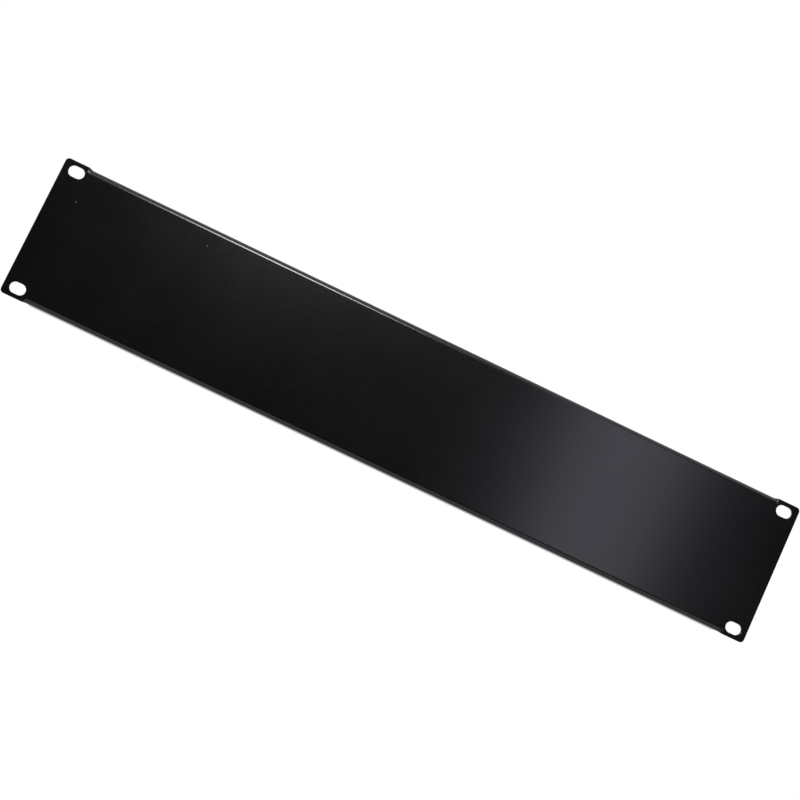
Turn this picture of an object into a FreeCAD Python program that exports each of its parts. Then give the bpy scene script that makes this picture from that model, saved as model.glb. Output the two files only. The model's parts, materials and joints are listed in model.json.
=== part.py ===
import FreeCAD, Part
import math
import os

import Sketcher

# Rack blanking panel, two rack units high: one steel sheet, slotted at its ends and folded back
# along its top and bottom edges.
#
# X runs along the width, Z is up and the front faces -Y. The origin is at the centre of the four
# slots, on the back of the sheet, which is the face that seats on the rack's rails.
# The upper right quarter is built, and two mirrors make the other three.

NODE = "blanking_panel"

SIZES = (
    ("panel_width", 482.6, "over both ears"),
    ("panel_height", 88.1, "of the ears"),
    ("sheet_thickness", 1.2, "steel with its coating"),
    ("ear_width", 17.1, "from the panel's end to the flange's end"),
    ("corner_radius", 2.4, "at the ears' four corners"),
    ("fold_setback", 0.45, "how far the folds lie inside the ears' edges"),
    ("fold_radius", 1.8, "inside the fold"),
    ("flange_depth", 14.0, "from the front face to the flange's free edge"),
    ("curl_length", 3.0, "over which the flat edge of an ear turns into the fold"),
    ("slot_length", 9.8, "end to end"),
    ("slot_width", 6.8, "across"),
    ("slot_inset_side", 8.75, "from the panel's end to the slot's centre"),
    ("slot_inset_edge", 5.95, "from the ear's edge to the slot's centre"),
    ("edge_round", 0.25, "on the sheared and coated edges"),
)

# Sizes that follow from the ones above, as expressions over the sheet's cells.
THICKNESS = "Sizes.sheet_thickness"
ROUND = "Sizes.edge_round"
PANEL_END = "(Sizes.panel_width / 2)"
EAR_TOP = "(Sizes.panel_height / 2)"
FLANGE_END = f"({PANEL_END} - Sizes.ear_width)"
CURL_END = f"({FLANGE_END} + Sizes.curl_length)"
FOLD_TOP = f"({EAR_TOP} - Sizes.fold_setback)"
FOLD_OUTER_RADIUS = f"(Sizes.fold_radius + {THICKNESS})"
FOLD_START = f"({FOLD_TOP} - {FOLD_OUTER_RADIUS})"
FLANGE_BACK = f"(Sizes.flange_depth - {THICKNESS})"
SLOT_HALF_WIDTH = "(Sizes.slot_width / 2)"
SLOT_HALF_STRAIGHT = "((Sizes.slot_length - Sizes.slot_width) / 2)"
SLOT_X = f"({PANEL_END} - Sizes.slot_inset_side)"
SLOT_Z = f"({EAR_TOP} - Sizes.slot_inset_edge)"

CURL_SECTIONS = 6
FULL_FOLD = 90.0  # degrees
NEAR = 1e-4  # mm, within which an edge lies on a face or line

# Sketcher's names for a curve's points, and for the sketch's own origin and upright axis.
START = 1
END = 2
CENTRE = 3
ORIGIN = (-1, START)
UPRIGHT_AXIS = -2


def size_sheet(doc):
    """The driving dimensions, one row each: name, value, meaning."""
    sheet = doc.addObject("Spreadsheet::Sheet", "Sizes")
    for row, (name, value, meaning) in enumerate(SIZES, start=1):
        sheet.set(f"A{row}", name)
        sheet.set(f"B{row}", str(value))
        sheet.set(f"C{row}", meaning)
        sheet.setAlias(f"B{row}", name)
    doc.recompute()
    return sheet


class Outline:
    """A sketch on one of the body's origin planes, with its sizes bound to the sheet."""

    def __init__(self, body, sheet, name, plane):
        self.sheet = sheet
        self.sketch = body.newObject("Sketcher::SketchObject", name)
        self.sketch.AttachmentSupport = (origin_plane(body, plane), [""])
        self.sketch.MapMode = "FlatFace"

    def value(self, expression):
        """The number that an expression over the sheet's cells gives."""
        return self.sheet.evalExpression(expression)

    def line(self, start, end):
        return self.sketch.addGeometry(Part.LineSegment(FreeCAD.Vector(*start), FreeCAD.Vector(*end)))

    def arc(self, centre, radius, start_angle, end_angle):
        """An arc that runs anticlockwise between two angles in degrees."""
        circle = Part.Circle(FreeCAD.Vector(*centre), FreeCAD.Vector(0, 0, 1), radius)
        return self.sketch.addGeometry(
            Part.ArcOfCircle(circle, math.radians(start_angle), math.radians(end_angle))
        )

    def hold(self, kind, *where):
        """A constraint with no size."""
        self.sketch.addConstraint(Sketcher.Constraint(kind, *where))

    def size(self, kind, *where, to):
        """A constraint whose size is an expression over the sheet's cells."""
        row = self.sketch.addConstraint(Sketcher.Constraint(kind, *where, self.value(to)))
        self.sketch.setExpression(f"Constraints[{row}]", to)

    def angle(self, curve, degrees):
        """The direction of a line, in degrees, which no cell changes."""
        self.sketch.addConstraint(Sketcher.Constraint("Angle", curve, math.radians(degrees)))


def origin_plane(body, role):
    return next(plane for plane in body.Origin.OriginFeatures if plane.Role == role)


def plate_outline(body, sheet):
    """A quarter of the flat sheet: the face up to the fold, and the ear up to its rounded corner."""
    outline = Outline(body, sheet, "PlateOutline", "XZ_Plane")
    end, top = outline.value(PANEL_END), outline.value(EAR_TOP)
    step, fold = outline.value(CURL_END), outline.value(FOLD_START)
    radius = outline.value("Sizes.corner_radius")

    foot = outline.line((0, 0), (end, 0))
    side = outline.line((end, 0), (end, top - radius))
    corner = outline.arc((end - radius, top - radius), radius, 0, 90)
    head = outline.line((end - radius, top), (step, top))
    shoulder = outline.line((step, top), (step, fold))
    edge = outline.line((step, fold), (0, fold))
    middle = outline.line((0, fold), (0, 0))

    for first, second in ((foot, side), (head, shoulder), (shoulder, edge), (edge, middle)):
        outline.hold("Coincident", first, END, second, START)
    outline.hold("Coincident", middle, END, foot, START)
    outline.hold("Coincident", foot, START, *ORIGIN)
    outline.hold("Tangent", side, END, corner, START)
    outline.hold("Tangent", corner, END, head, START)
    for level in (foot, head, edge):
        outline.hold("Horizontal", level)
    for upright in (side, shoulder, middle):
        outline.hold("Vertical", upright)
    outline.size("DistanceX", *ORIGIN, foot, END, to=PANEL_END)
    outline.size("DistanceY", *ORIGIN, head, END, to=EAR_TOP)
    outline.size("DistanceX", *ORIGIN, shoulder, END, to=CURL_END)
    outline.size("DistanceY", *ORIGIN, edge, END, to=FOLD_START)
    outline.size("Radius", corner, to="Sizes.corner_radius")
    return outline.sketch


def slot_outline(body, sheet):
    """One slot, lying along the width, with round ends."""
    outline = Outline(body, sheet, "SlotOutline", "XZ_Plane")
    x, z = outline.value(SLOT_X), outline.value(SLOT_Z)
    straight, radius = outline.value(SLOT_HALF_STRAIGHT), outline.value(SLOT_HALF_WIDTH)

    outer = outline.arc((x + straight, z), radius, -90, 90)
    upper = outline.line((x + straight, z + radius), (x - straight, z + radius))
    inner = outline.arc((x - straight, z), radius, 90, 270)
    lower = outline.line((x - straight, z - radius), (x + straight, z - radius))

    for first, second in ((outer, upper), (upper, inner), (inner, lower), (lower, outer)):
        outline.hold("Tangent", first, END, second, START)
    outline.hold("Horizontal", upper)
    outline.hold("Equal", outer, inner)
    outline.size("Radius", outer, to=SLOT_HALF_WIDTH)
    outline.size("DistanceX", *ORIGIN, outer, CENTRE, to=f"{SLOT_X} + {SLOT_HALF_STRAIGHT}")
    outline.size("DistanceX", *ORIGIN, inner, CENTRE, to=f"{SLOT_X} - {SLOT_HALF_STRAIGHT}")
    outline.size("DistanceY", *ORIGIN, outer, CENTRE, to=SLOT_Z)
    return outline.sketch


def flange_profile(body, sheet):
    """The section of the fold and the flange behind it, from the flat face to the free edge."""
    outline = Outline(body, sheet, "FlangeProfile", "YZ_Plane")
    sheet_t, inner_r = outline.value(THICKNESS), outline.value("Sizes.fold_radius")
    outer_r, rounding = outline.value(FOLD_OUTER_RADIUS), outline.value(ROUND)
    fold, top = outline.value(FOLD_START), outline.value(FOLD_TOP)
    back = outline.value(FLANGE_BACK)

    base = outline.line((0, fold), (-sheet_t, fold))
    outer_fold = outline.arc((inner_r, fold), outer_r, 90, 180)
    outer_face = outline.line((inner_r, top), (back - rounding, top))
    outer_round = outline.arc((back - rounding, top - rounding), rounding, 0, 90)
    free_edge = outline.line((back, top - rounding), (back, top - sheet_t + rounding))
    inner_round = outline.arc((back - rounding, top - sheet_t + rounding), rounding, 270, 360)
    inner_face = outline.line((back - rounding, top - sheet_t), (inner_r, top - sheet_t))
    inner_fold = outline.arc((inner_r, fold), inner_r, 90, 180)

    outline.hold("Coincident", base, END, outer_fold, END)
    outline.hold("Tangent", outer_fold, START, outer_face, START)
    outline.hold("Tangent", outer_face, END, outer_round, END)
    outline.hold("Tangent", outer_round, START, free_edge, START)
    outline.hold("Tangent", free_edge, END, inner_round, END)
    outline.hold("Tangent", inner_round, START, inner_face, START)
    outline.hold("Tangent", inner_face, END, inner_fold, START)
    outline.hold("Coincident", inner_fold, END, base, START)
    outline.hold("Coincident", inner_fold, CENTRE, outer_fold, CENTRE)
    outline.hold("PointOnObject", outer_fold, CENTRE, base)
    outline.hold("PointOnObject", base, START, UPRIGHT_AXIS)
    outline.hold("Horizontal", base)
    outline.hold("Horizontal", outer_face)
    outline.hold("Horizontal", inner_face)
    outline.hold("Vertical", free_edge)
    outline.size("DistanceY", *ORIGIN, base, START, to=FOLD_START)
    outline.size("DistanceX", base, END, base, START, to=THICKNESS)
    outline.size("Radius", inner_fold, to="Sizes.fold_radius")
    outline.size("DistanceX", *ORIGIN, free_edge, START, to=FLANGE_BACK)
    outline.size("Radius", outer_round, to=ROUND)
    outline.size("Radius", inner_round, to=ROUND)
    return outline.sketch


def flat_section(body, sheet):
    """The curl's section at the ear, where the sheet's edge is still flat."""
    outline = Outline(body, sheet, "CurlSection0", "YZ_Plane")
    sheet_t, rounding = outline.value(THICKNESS), outline.value(ROUND)
    fold, top = outline.value(FOLD_START), outline.value(EAR_TOP)

    base = outline.line((0, fold), (-sheet_t, fold))
    front = outline.line((-sheet_t, fold), (-sheet_t, top - rounding))
    front_round = outline.arc((-sheet_t + rounding, top - rounding), rounding, 90, 180)
    tip = outline.line((-sheet_t + rounding, top), (-rounding, top))
    back_round = outline.arc((-rounding, top - rounding), rounding, 0, 90)
    back = outline.line((0, top - rounding), (0, fold))

    outline.hold("Coincident", base, END, front, START)
    outline.hold("Tangent", front, END, front_round, END)
    outline.hold("Tangent", front_round, START, tip, START)
    outline.hold("Tangent", tip, END, back_round, END)
    outline.hold("Tangent", back_round, START, back, START)
    outline.hold("Coincident", back, END, base, START)
    outline.hold("PointOnObject", base, START, UPRIGHT_AXIS)
    outline.hold("Horizontal", base)
    outline.hold("Vertical", front)
    outline.hold("Horizontal", tip)
    outline.hold("Vertical", back)
    outline.size("DistanceY", *ORIGIN, base, START, to=FOLD_START)
    outline.size("DistanceX", base, END, base, START, to=THICKNESS)
    outline.size("DistanceY", *ORIGIN, tip, START, to=EAR_TOP)
    outline.size("Radius", front_round, to=ROUND)
    outline.size("Radius", back_round, to=ROUND)
    outline.sketch.setExpression(".AttachmentOffset.Base.z", CURL_END)
    return outline.sketch


def curled_section(body, sheet, step):
    """The curl's section at one step from the ear to the fold.

    The strip beyond the fold line turns by more at each step, on a radius that shortens until it
    is the fold's own, while its tip comes down from the ear's edge to the fold's top.
    """
    along = step / CURL_SECTIONS
    share = along * along * (3 - 2 * along)
    turn = FULL_FOLD * share
    tip_height = f"({EAR_TOP} - Sizes.fold_setback * {share})"
    strip_radius = f"(({tip_height} - {FOLD_START}) / {math.sin(math.radians(turn))})"

    outline = Outline(body, sheet, f"CurlSection{step}", "YZ_Plane")
    sheet_t, rounding = outline.value(THICKNESS), outline.value(ROUND)
    fold, outer_r = outline.value(FOLD_START), outline.value(strip_radius)
    inner_r = outer_r - sheet_t
    centre = FreeCAD.Vector(inner_r, fold)
    radial = 180 - turn
    outer_slip = math.degrees(math.asin(rounding / (outer_r - rounding)))
    inner_slip = math.degrees(math.asin(rounding / (inner_r + rounding)))

    def around(radius, direction):
        angle = math.radians(direction)
        return centre + FreeCAD.Vector(radius * math.cos(angle), radius * math.sin(angle))

    outer_centre = around(outer_r - rounding, radial + outer_slip)
    inner_centre = around(inner_r + rounding, radial + inner_slip)
    tip_side = FreeCAD.Vector(math.sin(math.radians(turn)), math.cos(math.radians(turn))) * rounding

    base = outline.line((0, fold), (-sheet_t, fold))
    outer = outline.arc(centre, outer_r, radial + outer_slip, 180)
    outer_round = outline.arc(outer_centre, rounding, 90 - turn, radial + outer_slip)
    tip = outline.line(inner_centre + tip_side, outer_centre + tip_side)
    inner_round = outline.arc(inner_centre, rounding, inner_slip - turn, 90 - turn)
    inner = outline.arc(centre, inner_r, radial + inner_slip, 180)

    outline.hold("Coincident", base, END, outer, END)
    outline.hold("Tangent", outer, START, outer_round, END)
    outline.hold("Tangent", outer_round, START, tip, END)
    outline.hold("Tangent", tip, START, inner_round, END)
    outline.hold("Tangent", inner_round, START, inner, START)
    outline.hold("Coincident", inner, END, base, START)
    outline.hold("Coincident", inner, CENTRE, outer, CENTRE)
    outline.hold("PointOnObject", outer, CENTRE, base)
    outline.hold("PointOnObject", base, START, UPRIGHT_AXIS)
    outline.hold("Horizontal", base)
    outline.hold("PointOnObject", outer, CENTRE, tip)
    outline.angle(tip, radial)
    outline.size("DistanceY", *ORIGIN, base, START, to=FOLD_START)
    outline.size("DistanceX", base, END, base, START, to=THICKNESS)
    outline.size("Radius", outer, to=strip_radius)
    outline.size("Radius", outer_round, to=ROUND)
    outline.size("Radius", inner_round, to=ROUND)
    outline.sketch.setExpression(
        ".AttachmentOffset.Base.z", f"{CURL_END} - Sizes.curl_length * {along}"
    )
    return outline.sketch


def pad(body, name, profile, length):
    feature = body.newObject("PartDesign::Pad", name)
    feature.Profile = profile
    feature.setExpression("Length", length)
    return feature


def cut_through(body, name, profile):
    """Cuts a profile on the back plane through the sheet, towards the front."""
    feature = body.newObject("PartDesign::Pocket", name)
    feature.Profile = profile
    feature.Reversed = True
    feature.Type = "ThroughAll"
    return feature


def round_edges(body, name, base, chosen):
    """Rounds the edges of the last feature for which chosen(edge) is true."""
    body.Document.recompute()
    names = [f"Edge{i}" for i, edge in enumerate(base.Shape.Edges, start=1) if chosen(edge)]
    feature = body.newObject("PartDesign::Fillet", name)
    feature.Base = (base, names)
    feature.setExpression("Radius", ROUND)
    return feature


def mirror_whole(body, name, plane):
    """Adds the mirror image of everything built so far."""
    body.Document.recompute()
    feature = body.newObject("PartDesign::Mirrored", name)
    feature.TransformMode = "Whole shape"
    feature.MirrorPlane = (origin_plane(body, plane), [""])
    body.Tip = feature
    return feature


def blanking_panel(doc, sheet):
    """The whole folded sheet, as one body."""
    body = doc.addObject("PartDesign::Body", "BlankingPanel")
    body.Label = NODE
    panel_end, ear_top = sheet.evalExpression(PANEL_END), sheet.evalExpression(EAR_TOP)
    slot_x, slot_z = sheet.evalExpression(SLOT_X), sheet.evalExpression(SLOT_Z)

    def on_sheared_outline(edge):
        """True for the plate's end, corner and ear top, where they meet the front or back face."""
        box = edge.BoundBox
        at_end = box.XMin > panel_end - NEAR
        at_top = box.ZMin > ear_top - NEAR
        at_corner = isinstance(edge.Curve, Part.Circle)
        return box.YLength < NEAR and (at_end or at_top or at_corner)

    def on_slot_rim(edge):
        """True for the slot's edges on the front or back face."""
        box = edge.BoundBox
        beside = abs(box.Center.x - slot_x) < sheet.slot_length / 2 + NEAR
        level = abs(box.Center.z - slot_z) < sheet.slot_width / 2 + NEAR
        return box.YLength < NEAR and beside and level

    plate = pad(body, "Plate", plate_outline(body, sheet), THICKNESS)
    plate_edges = round_edges(body, "PlateEdges", plate, on_sheared_outline)
    doc.recompute()
    uncut_volume = plate_edges.Shape.Volume
    slot_sketch = slot_outline(body, sheet)
    slot = cut_through(body, "Slot", slot_sketch)
    doc.recompute()
    if slot.Shape.Volume >= uncut_volume:
        raise RuntimeError("the slot cuts nothing")
    round_edges(body, "SlotEdges", slot, on_slot_rim)

    pad(body, "Flange", flange_profile(body, sheet), FLANGE_END)
    sections = [flat_section(body, sheet)]
    sections += [curled_section(body, sheet, step) for step in range(1, CURL_SECTIONS + 1)]
    curl = body.newObject("PartDesign::AdditiveLoft", "Curl")
    curl.Profile = sections[0]
    curl.Sections = sections[1:]
    # On a narrower ear the curl reaches the slot, which stays open through it.
    cut_through(body, "SlotThroughCurl", slot_sketch)

    mirror_whole(body, "UpperHalf", "YZ_Plane")
    mirror_whole(body, "WholePanel", "XY_Plane")
    return body


def check(doc, body):
    """Stops the script if anything in the document failed, or the body is not one sound solid."""
    for item in doc.Objects:
        if {"Invalid", "Error"} & set(item.State):
            raise RuntimeError(f"{item.Label} failed: {item.State}")
    shape = body.Shape
    if shape.isNull() or not shape.isValid() or len(shape.Solids) != 1:
        raise RuntimeError(f"{body.Label} is not one sound solid")


def main():
    doc = FreeCAD.newDocument("RackBlankingPanel")
    sheet = size_sheet(doc)
    body = blanking_panel(doc, sheet)
    doc.recompute()
    check(doc, body)

    os.makedirs("parts", exist_ok=True)
    body.Shape.exportStep(f"parts/{body.Label}.step")


main()
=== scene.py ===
"""The looks of a two-unit rack blanking panel: one folded steel sheet in satin black powder coat.

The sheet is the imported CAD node. This script gives it its coat, and adds a plain studio and the camera.
+X runs along the panel, +Z is up, and the front faces -Y. All lengths are metres.
"""

import json
import math

import bpy
from mathutils import Matrix, Vector


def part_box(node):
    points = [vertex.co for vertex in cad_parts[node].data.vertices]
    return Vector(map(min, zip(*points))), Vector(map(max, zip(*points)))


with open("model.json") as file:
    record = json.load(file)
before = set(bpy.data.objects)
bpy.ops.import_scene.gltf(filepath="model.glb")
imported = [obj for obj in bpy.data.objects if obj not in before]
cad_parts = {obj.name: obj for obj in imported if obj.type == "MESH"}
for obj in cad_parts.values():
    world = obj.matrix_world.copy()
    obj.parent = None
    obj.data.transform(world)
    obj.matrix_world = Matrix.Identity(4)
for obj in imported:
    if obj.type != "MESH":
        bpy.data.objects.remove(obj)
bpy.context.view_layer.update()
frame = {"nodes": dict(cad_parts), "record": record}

MM = 0.001
WHITE = (1.0, 1.0, 1.0, 1.0)


# ---------------------------------------------------------------- places read from the frame

PANEL = "blanking_panel"
LOW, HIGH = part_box(PANEL)
FRONT = LOW.y
MOUNTS = {mount["name"]: mount for mount in frame["record"]["mounts"]}
SLOT_ROW = MOUNTS["rack_slots"]["dims"]
SLOT_X = SLOT_ROW["spacing_x_mm"] / 2 * MM
SLOT_Z = SLOT_ROW["spacing_y_mm"] / 2 * MM
SLOT_RADIUS = SLOT_ROW["hole_r_mm"] * MM
SLOT_HALF_RUN = SLOT_ROW["slot_length_mm"] / 2 * MM - SLOT_RADIUS


# ---------------------------------------------------------------- camera

VIEW_AZIMUTH = -2.858
VIEW_ELEVATION = -6.496
VIEW_ROLL = 25.195
VIEW_DISTANCE = 0.8832
VIEW_AIM = Vector((-0.0046, FRONT, -0.0008))
LENS = 67.5
SENSOR = 36.0


def make_camera():
    """The panel seen from a little below its middle, with the camera rolled so that its right end drops."""
    azimuth = math.radians(VIEW_AZIMUTH)
    elevation = math.radians(VIEW_ELEVATION)
    away = Vector((
        math.sin(azimuth) * math.cos(elevation),
        -math.cos(azimuth) * math.cos(elevation),
        math.sin(elevation),
    ))
    data = bpy.data.cameras.new("camera")
    data.lens = LENS
    data.sensor_width = SENSOR
    camera = bpy.data.objects.new("camera", data)
    bpy.context.scene.collection.objects.link(camera)
    turn = away.to_track_quat("Z", "Y").to_matrix() @ Matrix.Rotation(math.radians(VIEW_ROLL), 3, "Z")
    camera.matrix_world = Matrix.Translation(VIEW_AIM + away * VIEW_DISTANCE) @ turn.to_4x4()
    bpy.context.scene.camera = camera


# ---------------------------------------------------------------- node helpers


def add(tree, kind, settings=None, inputs=None):
    """A new node: settings are its properties, and inputs are values or links by socket name or number."""
    node = tree.nodes.new(kind)
    for name, value in (settings or {}).items():
        setattr(node, name, value)
    for socket, value in (inputs or {}).items():
        if isinstance(value, bpy.types.NodeSocket):
            tree.links.new(value, node.inputs[socket])
        else:
            node.inputs[socket].default_value = value
    return node


def math_node(tree, operation, a, b=0.0):
    """One Math node's result."""
    return add(tree, "ShaderNodeMath", {"operation": operation}, {0: a, 1: b}).outputs[0]


def noise(tree, place, size, detail):
    """Noise from 0 to 1 whose features are about size metres across."""
    inputs = {"Vector": place, "Scale": 1.0 / size, "Detail": detail}
    return add(tree, "ShaderNodeTexNoise", {"noise_dimensions": "3D"}, inputs).outputs[0]


def ramp(tree, value, low, high, to_low=0.0, to_high=1.0):
    """value taken smoothly from low..high to to_low..to_high, and held beyond."""
    inputs = {"Value": value, "From Min": low, "From Max": high, "To Min": to_low, "To Max": to_high}
    return add(tree, "ShaderNodeMapRange", {"interpolation_type": "SMOOTHSTEP"}, inputs).outputs[0]


# Further off than any spot, and how far out a spot fades, as a multiple of its radius.
FAR_OFF = 1.0
SPOT_FADE = 1.5


def near_spots(tree, place, spots, radius):
    """1 within radius of any of the spots, fading to 0 half as far out again."""
    nearest = FAR_OFF
    for spot in spots:
        gap = add(tree, "ShaderNodeVectorMath", {"operation": "DISTANCE"}, {0: place, 1: spot})
        nearest = math_node(tree, "MINIMUM", gap.outputs["Value"], nearest)
    return ramp(tree, nearest, radius, SPOT_FADE * radius, 1.0, 0.0)


# The Mix node has the same socket names for each kind of data. These are its colour ones.
MIX_AMOUNT = 0
MIX_FIRST = 6
MIX_SECOND = 7
MIX_RESULT = 2


def mix_colour(tree, amount, first, second):
    """first where amount is 0, second where it is 1."""
    inputs = {MIX_AMOUNT: amount, MIX_FIRST: first, MIX_SECOND: second}
    return add(tree, "ShaderNodeMix", {"data_type": "RGBA"}, inputs).outputs[MIX_RESULT]


# ---------------------------------------------------------------- powder coat

COAT_DARK = (0.0012, 0.0012, 0.0012, 1.0)
COAT_PALE = (0.0048, 0.0048, 0.0048, 1.0)
COAT_ROUGHNESS = 0.184
ROUGHNESS_SPREAD = 0.012
COAT_IOR = 1.5

# The coat's tone is part cloud and part grain. From low to high it runs from dark to pale, and gets rougher.
CLOUD_SHARE = 0.25
GRAIN_SHARE = 0.75
TONE_LOW = 0.3
TONE_HIGH = 0.7
GRAIN_SIZE = 0.5 * MM
PEEL_SIZE = 1.8 * MM
CLOUD_SIZE = 45 * MM
GRAIN_HEIGHT = 1.3e-6
PEEL_HEIGHT = 2.6e-6

# Two nibs of dust under the coat, each placed from the upper left slot's centre.
NIB_COLOUR = (0.07, 0.07, 0.07, 1.0)
NIB_RADIUS = 0.36 * MM
NIB_HEIGHT = 15e-6
NIBS = (
    Vector((7.5 * MM - SLOT_X, FRONT, SLOT_Z - 15.9 * MM)),
    Vector((86.9 * MM - SLOT_X, FRONT, SLOT_Z - 5.9 * MM)),
)

# One chip, just beyond the outer end of the lower right slot.
CHIP_COLOUR = (0.15, 0.15, 0.15, 1.0)
CHIP_RADIUS = 0.35 * MM
CHIP_DEPTH = 25e-6
CHIP = Vector((SLOT_X + SLOT_HALF_RUN + SLOT_RADIUS + CHIP_RADIUS, FRONT, -SLOT_Z - 0.8 * MM))

# The coat rubbed thin here and there along the ears' outline.
WORN_COLOUR = (0.035, 0.035, 0.035, 1.0)
WEAR_WIDTH = 0.4 * MM
WEAR_SIZE = 5 * MM
WEAR_START = 0.42
WEAR_FULL = 0.62


def outline_wear(tree, place):
    """Worn patches in a narrow band along the ears' ends, tops and bottoms, which the folds don't reach."""
    axes = add(tree, "ShaderNodeSeparateXYZ", inputs={"Vector": place}).outputs
    across = math_node(tree, "ABSOLUTE", axes["X"])
    up = math_node(tree, "ABSOLUTE", axes["Z"])
    ends = ramp(tree, across, HIGH.x - WEAR_WIDTH, HIGH.x)
    tops = ramp(tree, up, HIGH.z - WEAR_WIDTH, HIGH.z)
    patches = ramp(tree, noise(tree, place, WEAR_SIZE, detail=3.0), WEAR_START, WEAR_FULL)
    return math_node(tree, "MULTIPLY", math_node(tree, "MAXIMUM", ends, tops), patches)


def powder_coat():
    """Near black and satin, faintly clouded, with a fine grain over a very slight orange peel."""
    material = bpy.data.materials.new("black_powder_coat")
    material.use_nodes = True
    tree = material.node_tree
    shader = tree.nodes["Principled BSDF"]
    place = add(tree, "ShaderNodeTexCoord").outputs["Object"]

    grain = noise(tree, place, GRAIN_SIZE, detail=2.0)
    peel = noise(tree, place, PEEL_SIZE, detail=1.0)
    cloud = noise(tree, place, CLOUD_SIZE, detail=3.0)
    nibs = near_spots(tree, place, NIBS, NIB_RADIUS)
    chip = near_spots(tree, place, (CHIP,), CHIP_RADIUS)

    cloud_part = math_node(tree, "MULTIPLY", cloud, CLOUD_SHARE)
    grain_part = math_node(tree, "MULTIPLY", grain, GRAIN_SHARE)
    tone = math_node(tree, "ADD", cloud_part, grain_part)
    colour = mix_colour(tree, ramp(tree, tone, TONE_LOW, TONE_HIGH), COAT_DARK, COAT_PALE)
    colour = mix_colour(tree, outline_wear(tree, place), colour, WORN_COLOUR)
    colour = mix_colour(tree, nibs, colour, NIB_COLOUR)
    colour = mix_colour(tree, chip, colour, CHIP_COLOUR)
    tree.links.new(colour, shader.inputs["Base Color"])

    smoothest = COAT_ROUGHNESS - ROUGHNESS_SPREAD
    roughest = COAT_ROUGHNESS + ROUGHNESS_SPREAD
    roughness = ramp(tree, tone, TONE_LOW, TONE_HIGH, smoothest, roughest)
    tree.links.new(roughness, shader.inputs["Roughness"])
    shader.inputs["IOR"].default_value = COAT_IOR

    height = math_node(tree, "MULTIPLY", grain, GRAIN_HEIGHT)
    for relief, size in ((peel, PEEL_HEIGHT), (nibs, NIB_HEIGHT), (chip, -CHIP_DEPTH)):
        height = math_node(tree, "ADD", height, math_node(tree, "MULTIPLY", relief, size))
    bump = add(tree, "ShaderNodeBump", inputs={"Strength": 1.0, "Distance": 1.0, "Height": height})
    tree.links.new(bump.outputs[0], shader.inputs["Normal"])
    return material


def finish_panel():
    """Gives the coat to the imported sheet, which keeps its mesh."""
    panel = frame["nodes"][PANEL]
    panel.data.materials.clear()
    panel.data.materials.append(powder_coat())


# ---------------------------------------------------------------- studio

FLOOR_DROP = 0.61
FLOOR_RADIUS = 1.25
FLOOR_FADE = 0.55
FLOOR_RINGS = 24
FLOOR_STEPS = 96
FLOOR_DIM = (0.90, 0.90, 0.90, 1.0)
FLOOR_PALE = (0.93, 0.93, 0.93, 1.0)
FLOOR_MOTTLE = 0.25
FLOOR_ROUGHNESS = 0.9
FLOOR_SHEEN = 0.1


def make_floor():
    """A round pale floor, well under the hung panel, that fades into the white surroundings at its rim."""
    verts = [(0.0, 0.0, 0.0)]
    faces = []
    for ring in range(1, FLOOR_RINGS + 1):
        radius = FLOOR_RADIUS * ring / FLOOR_RINGS
        for step in range(FLOOR_STEPS):
            turn = 2 * math.pi * step / FLOOR_STEPS
            verts.append((radius * math.cos(turn), radius * math.sin(turn), 0.0))
    for step in range(FLOOR_STEPS):
        after = (step + 1) % FLOOR_STEPS
        faces.append((0, 1 + step, 1 + after))
        for ring in range(FLOOR_RINGS - 1):
            inner = 1 + ring * FLOOR_STEPS
            outer = inner + FLOOR_STEPS
            faces.append((inner + step, outer + step, outer + after, inner + after))
    mesh = bpy.data.meshes.new("floor")
    mesh.from_pydata(verts, [], faces)
    mesh.materials.append(floor_paint())
    floor = bpy.data.objects.new("floor", mesh)
    floor.location = (0.0, 0.0, LOW.z - FLOOR_DROP)
    bpy.context.scene.collection.objects.link(floor)


def floor_paint():
    """Matt pale paint, slightly mottled, that turns clear towards the floor's rim."""
    material = bpy.data.materials.new("floor_paint")
    material.use_nodes = True
    tree = material.node_tree
    shader = tree.nodes["Principled BSDF"]
    shader.inputs["Roughness"].default_value = FLOOR_ROUGHNESS
    shader.inputs["Specular IOR Level"].default_value = FLOOR_SHEEN
    place = add(tree, "ShaderNodeTexCoord").outputs["Object"]
    mottle = noise(tree, place, FLOOR_MOTTLE, detail=3.0)
    tree.links.new(mix_colour(tree, mottle, FLOOR_DIM, FLOOR_PALE), shader.inputs["Base Color"])
    reach = add(tree, "ShaderNodeVectorMath", {"operation": "LENGTH"}, {0: place}).outputs["Value"]
    clearing = ramp(tree, reach, FLOOR_RADIUS - FLOOR_FADE, FLOOR_RADIUS, 1.0, 0.0)
    tree.links.new(clearing, shader.inputs["Alpha"])
    return material


WORLD_FILL = 0.55


def make_world():
    """White where it is seen, mirrored or seen through, and a dimmer even fill everywhere else."""
    world = bpy.data.worlds.new("studio")
    bpy.context.scene.world = world
    world.use_nodes = True
    tree = world.node_tree
    tree.nodes.clear()
    path = add(tree, "ShaderNodeLightPath").outputs
    shown = math_node(tree, "MAXIMUM", path["Is Camera Ray"], path["Is Glossy Ray"])
    shown = math_node(tree, "MAXIMUM", shown, path["Is Transmission Ray"])
    strength = ramp(tree, shown, 0.0, 1.0, WORLD_FILL, 1.0)
    sky = add(tree, "ShaderNodeBackground", inputs={"Color": WHITE, "Strength": strength})
    add(tree, "ShaderNodeOutputWorld", inputs={"Surface": sky.outputs[0]})


def place_facing(thing, place, target, spin=0.0):
    """Puts thing at place with its -Z side towards target, turned by spin degrees about that line."""
    turn = (Vector(target) - Vector(place)).to_track_quat("-Z", "Y").to_matrix().to_4x4()
    thing.matrix_world = Matrix.Translation(place) @ turn @ Matrix.Rotation(math.radians(spin), 4, "Z")


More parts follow.
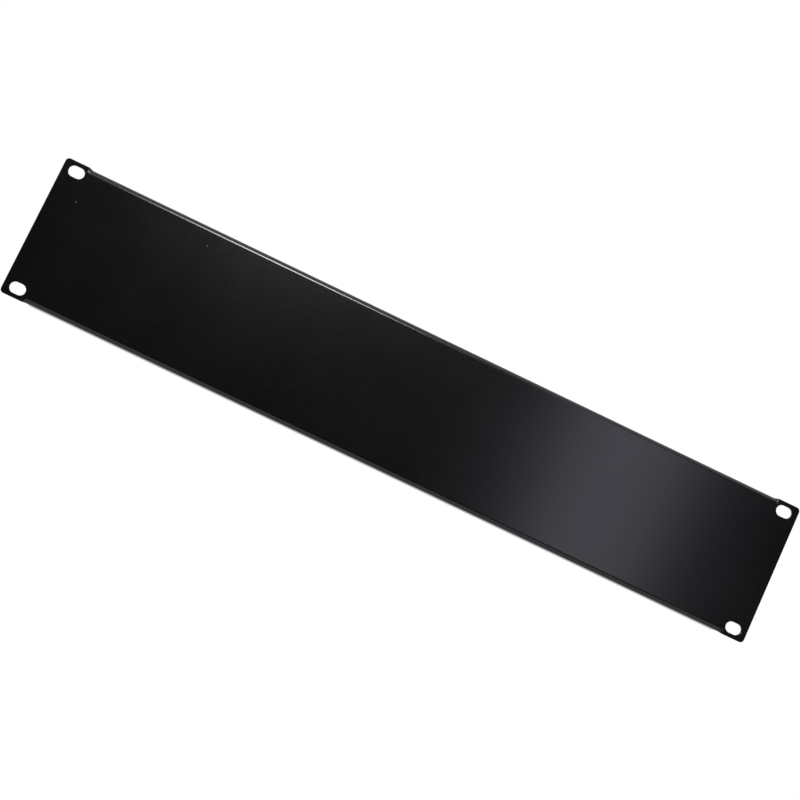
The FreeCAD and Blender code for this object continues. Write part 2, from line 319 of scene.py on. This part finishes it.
def softbox(name, place, target, size, radiance, colour, spin=0.0):
    """A rectangular lamp, its size a width and a height, that the camera doesn't see but surfaces mirror."""
    width, height = size
    data = bpy.data.lights.new(name, "AREA")
    data.shape = "RECTANGLE"
    data.size = width
    data.size_y = height
    data.energy = radiance * math.pi * width * height
    data.color = colour
    lamp = bpy.data.objects.new(name, data)
    bpy.context.scene.collection.objects.link(lamp)
    place_facing(lamp, place, target, spin)
    lamp.visible_camera = False


def flag(name, place, target, size, shade):
    """A dark card that only glossy surfaces mirror, and that casts no shadow."""
    right = size[0] / 2
    top = size[1] / 2
    corners = [(-right, -top, 0.0), (right, -top, 0.0), (right, top, 0.0), (-right, top, 0.0)]
    mesh = bpy.data.meshes.new(name)
    mesh.from_pydata(corners, [], [(0, 1, 2, 3)])
    material = bpy.data.materials.new(name)
    material.use_nodes = True
    tree = material.node_tree
    tree.nodes.clear()
    glow = add(tree, "ShaderNodeEmission", inputs={"Color": (shade, shade, shade, 1.0), "Strength": 1.0})
    add(tree, "ShaderNodeOutputMaterial", inputs={"Surface": glow.outputs[0]})
    mesh.materials.append(material)
    card = bpy.data.objects.new(name, mesh)
    bpy.context.scene.collection.objects.link(card)
    place_facing(card, place, target)
    card.visible_camera = False
    card.visible_diffuse = False
    card.visible_shadow = False
    card.visible_transmission = False


# Each lamp and the card: its place, its width and height, and how bright it is.
STRIP_PLACE = (0.434, -1.5, 0.343)
STRIP_SIZE = (0.20, 1.12)
STRIP_RADIANCE = 2.25
STRIP_COLOUR = (0.86, 0.83, 1.0)

UPPER_PLACE = (-0.22, -1.5, 0.75)
UPPER_SIZE = (0.315, 0.46)
UPPER_RADIANCE = 24.0
UPPER_COLOUR = (1.0, 1.0, 1.0)
UPPER_SPIN = 30.0

CARD_PLACE = (0.0, -2.2, 0.5)
CARD_TARGET = (0.0, 0.0, 0.5)
CARD_SIZE = (5.0, 3.0)
CARD_SHADE = 0.004


def make_studio():
    """A tall strip lamp at the right, a soft lamp up at the left, and a dark card behind the camera."""
    make_world()
    make_floor()
    middle = Vector((0.0, FRONT, 0.0))
    softbox("strip_lamp", STRIP_PLACE, middle, STRIP_SIZE, STRIP_RADIANCE, STRIP_COLOUR)
    softbox("upper_lamp", UPPER_PLACE, middle, UPPER_SIZE, UPPER_RADIANCE, UPPER_COLOUR, UPPER_SPIN)
    flag("front_card", CARD_PLACE, CARD_TARGET, CARD_SIZE, CARD_SHADE)


# ---------------------------------------------------------------- the scene

bpy.context.scene.view_settings.view_transform = "Standard"
make_camera()
finish_panel()
make_studio()
